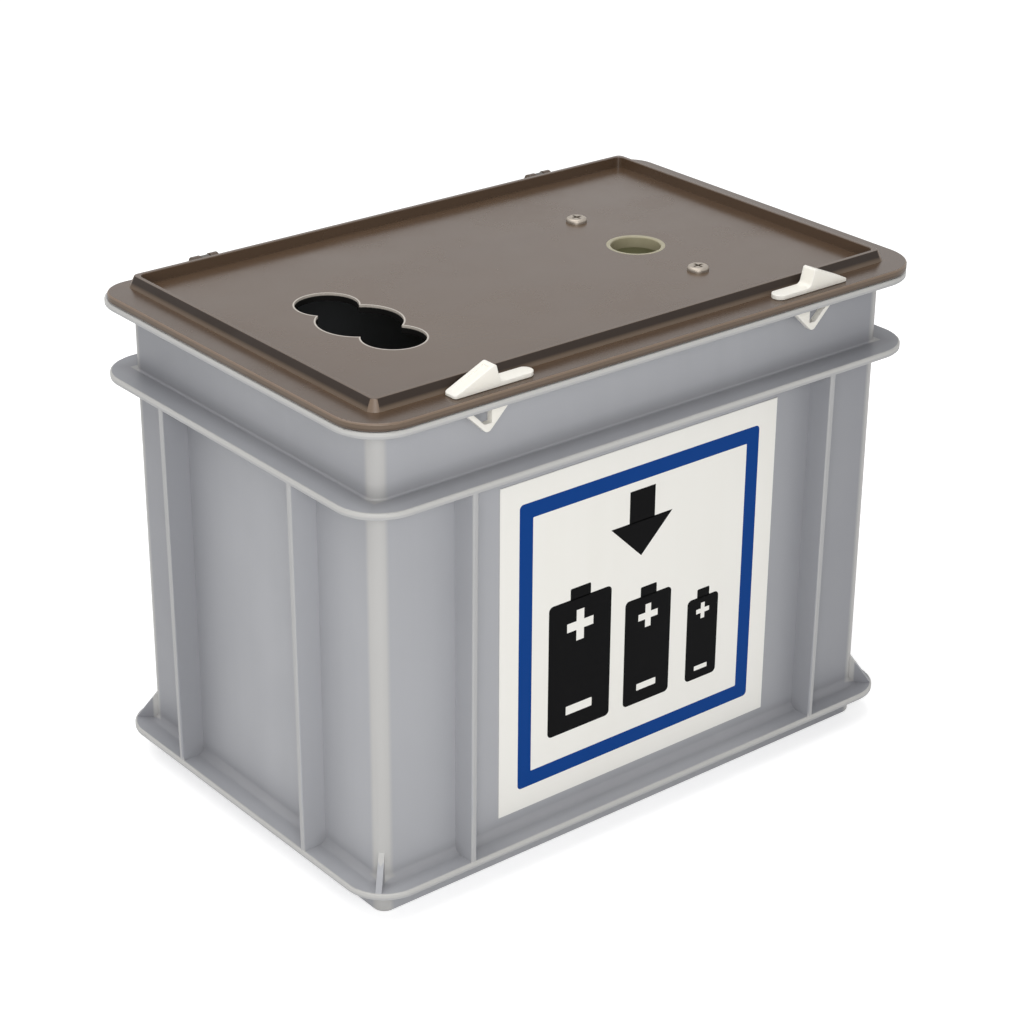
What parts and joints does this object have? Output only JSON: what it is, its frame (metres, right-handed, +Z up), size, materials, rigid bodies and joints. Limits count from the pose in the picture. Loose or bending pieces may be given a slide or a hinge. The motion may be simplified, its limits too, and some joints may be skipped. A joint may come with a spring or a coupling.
{
  "type": "battery collection container",
  "caption": "Rectangular plastic stacking container with a hinged, latched lid; cells go in through a clover slot and button cells through a round inlet into a cup.",
  "frame": {"origin": "middle of the container on the surface that it stands on", "axes": "+X to the right along the labelled front, +Y from the front to the hinged back, +Z up"},
  "size_m": [0.3, 0.2, 0.2333],
  "materials": {
    "container_plastic": "moulded grey polypropylene, satin",
    "lid_plastic": "moulded grey-brown polypropylene, semi-gloss",
    "latch_plastic": "white moulded plastic",
    "pin_steel": "plain steel rod",
    "ring_plastic": "pale moulded plastic",
    "cup_plastic": "olive moulded plastic",
    "screw_steel": "zinc plated steel",
    "label_film": "printed film, white with a blue frame and black symbols"
  },
  "bodies": {
    "container": {"container_body": "container_plastic", "hinge_pin_left": "pin_steel", "hinge_pin_right": "pin_steel", "label": "label_film"},
    "lid_set": {"lid": "lid_plastic", "inlet_ring": "ring_plastic", "button_cell_cup": "cup_plastic", "cup_screws": "screw_steel", "cup_washers": "screw_steel", "cup_nuts": "screw_steel"},
    "left_latch": {"latch_left": "latch_plastic"},
    "right_latch": {"latch_right": "latch_plastic"}
  },
  "joints": [
    {"name": "lid_hinge", "type": "hinge", "parent": "container", "child": "lid_set", "pos_m": [0, 0.0956, 0.2224], "axis": [-1, 0, 0], "range_deg": [0, 190]},
    {"name": "left_latch_slide", "type": "slide", "parent": "lid_set", "child": "left_latch", "axis": [-1, 0, 0], "range_m": [0, 0.0035]},
    {"name": "right_latch_slide", "type": "slide", "parent": "lid_set", "child": "right_latch", "axis": [1, 0, 0], "range_m": [0, 0.0035]}
  ]
}
